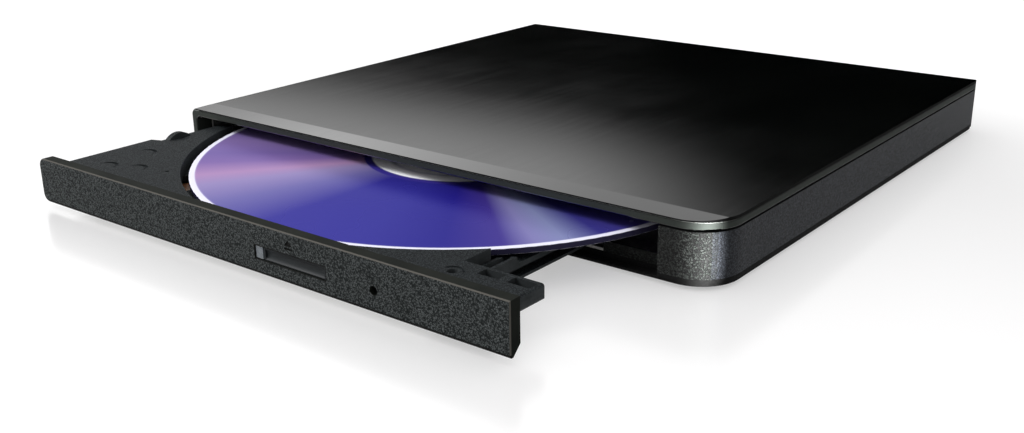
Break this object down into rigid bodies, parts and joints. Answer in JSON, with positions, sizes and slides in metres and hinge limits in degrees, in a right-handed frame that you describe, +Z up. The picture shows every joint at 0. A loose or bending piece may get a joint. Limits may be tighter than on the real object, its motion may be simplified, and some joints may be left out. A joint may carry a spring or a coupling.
{
  "type": "slim portable disc drive",
  "caption": "Slim portable disc writer: flat gloss-topped case with a pull-out tray on telescoping rails, eject button, spindle, sliding pickup and a loaded disc.",
  "frame": {"origin": "bottom centre of the whole object with the tray 42 mm out", "axes": "+X to the right seen from the front, +Y to the back, +Z up; the tray opens towards -Y"},
  "size_m": [0.144, 0.1794, 0.0136],
  "materials": {
    "gloss_cover": "high gloss black",
    "textured_case": "leather-like moulded grain",
    "textured_bezel": "leather-like moulded grain",
    "tray_plastic": "fine moulded grain",
    "button_plastic": "satin",
    "rubber": "matt",
    "guide_plastic": "smooth",
    "connector_black": "smooth",
    "chip_black": "moulded",
    "hub_plastic": "smooth",
    "circuit_board": "solder mask",
    "flat_cable": "film over copper",
    "sheet_steel": "zinc plated",
    "rail_steel": "rolled",
    "rod_steel": "ground",
    "steel_screw": "dark plated",
    "socket_steel": "nickel plated",
    "motor_steel": "plated",
    "deck_steel": "pressed",
    "deck_alloy": "die cast",
    "disc_face": "violet recording side of a disc",
    "lens_grey": "clear grey",
    "led_clear": "clear",
    "lens_glass": "coated"
  },
  "bodies": {
    "case": {"top_cover": "gloss_cover", "bottom_case": "textured_case", "rubber_feet": "rubber", "case_screws": "steel_screw", "guide_screws": "steel_screw", "drive_pan": "sheet_steel", "drive_top_plate": "sheet_steel", "top_plate_screws": "steel_screw", "latch_post": "steel_screw", "left_rail_guide": "guide_plastic", "right_rail_guide": "guide_plastic", "bridge_board": "circuit_board", "usb_socket": "socket_steel", "bridge_parts": "chip_black", "drive_connector": "connector_black", "bridge_connector": "connector_black", "rear_board": "circuit_board", "tray_flex_cable": "flat_cable"},
    "left_rail": {"left_rail": "rail_steel"},
    "right_rail": {"right_rail": "rail_steel"},
    "tray": {"tray_frame": "tray_plastic", "tray_screws": "steel_screw", "tray_bottom_cover": "sheet_steel", "bezel": "textured_bezel", "eject_switch": "chip_black", "eject_board": "circuit_board", "status_led": "led_clear", "light_pipe": "lens_grey", "latch_pin": "steel_screw", "solenoid": "motor_steel", "ejector_holder": "guide_plastic", "traverse_frame": "deck_steel", "damper_bushes": "rubber", "traverse_screws": "steel_screw", "guide_rods": "rod_steel", "spindle_base": "deck_steel", "sled_motor": "motor_steel", "main_board": "circuit_board", "main_chips": "chip_black", "flex_sockets": "connector_black", "pickup_flex": "flat_cable"},
    "eject_button": {"eject_button": "button_plastic", "switch_plunger": "connector_black"},
    "release_slider": {"release_slider": "guide_plastic"},
    "latch": {"latch_lever": "guide_plastic"},
    "armature": {"solenoid_armature": "rod_steel"},
    "ejector": {"ejector_rod": "rod_steel"},
    "spindle": {"spindle_rotor": "motor_steel", "turntable_ring": "rubber", "clamp_hub": "hub_plastic", "clamp_jaws": "hub_plastic", "disc": "disc_face"},
    "screw": {"lead_screw": "rod_steel"},
    "pickup": {"pickup_sled": "deck_alloy", "magnet_yokes": "motor_steel"},
    "lens": {"lens_holder": "chip_black", "objective_lens": "lens_glass"}
  },
  "joints": [
    {"name": "tray_slide", "type": "slide", "parent": "case", "child": "tray", "axis": [0, -1, 0], "range_m": [-0.042, 0.085], "deforming": ["tray_flex_cable"]},
    {"name": "left_rail_slide", "type": "slide", "parent": "case", "child": "left_rail", "axis": [0, -1, 0], "range_m": [-0.0211, 0.0426]},
    {"name": "right_rail_slide", "type": "slide", "parent": "case", "child": "right_rail", "axis": [0, -1, 0], "range_m": [-0.0211, 0.0426]},
    {"name": "eject_press", "type": "slide", "parent": "tray", "child": "eject_button", "axis": [0, 1, 0], "range_m": [0, 0.0006], "stiffness_N_per_m": 200},
    {"name": "release_push", "type": "slide", "parent": "tray", "child": "release_slider", "axis": [0, 1, 0], "range_m": [0, 0.002], "stiffness_N_per_m": 60},
    {"name": "latch_turn", "type": "hinge", "parent": "tray", "child": "latch", "pos_m": [0.0338, -0.07475, 0.0047], "axis": [0, 0, 1], "range_deg": [-22.01, 0]},
    {"name": "armature_slide", "type": "slide", "parent": "tray", "child": "armature", "axis": [1, 0, 0], "range_m": [0, 0.002], "stiffness_N_per_m": 40},
    {"name": "ejector_push", "type": "slide", "parent": "tray", "child": "ejector", "axis": [0, 1, 0], "range_m": [-0.009, 0], "stiffness_N_per_m": 60, "springref_m": 0.002},
    {"name": "disc_spin", "type": "hinge", "parent": "tray", "child": "spindle", "pos_m": [-0.00225, -0.02675, 0.0076], "axis": [0, 0, 1], "continuous": true},
    {"name": "pickup_slide", "type": "slide", "parent": "tray", "child": "pickup", "axis": [-0.7071, 0.7071, 0], "range_m": [0, 0.034]},
    {"name": "screw_turn", "type": "hinge", "parent": "tray", "child": "screw", "pos_m": [-0.03294, -0.01501, 0.0054], "axis": [-0.7071, 0.7071, 0], "range_deg": [0, 4081]},
    {"name": "lens_focus", "type": "slide", "parent": "pickup", "child": "lens", "axis": [0, 0, 1], "range_m": [-0.00035, 0.00035], "stiffness_N_per_m": 40}
  ],
  "couplings": [
    {"joint": "left_rail_slide", "follows": "tray_slide", "ratio": 0.5},
    {"joint": "right_rail_slide", "follows": "tray_slide", "ratio": 0.5},
    {"joint": "latch_turn", "follows": "armature_slide", "rad_per_m": -191.99},
    {"joint": "screw_turn", "follows": "pickup_slide", "rad_per_m": 2094.4}
  ]
}
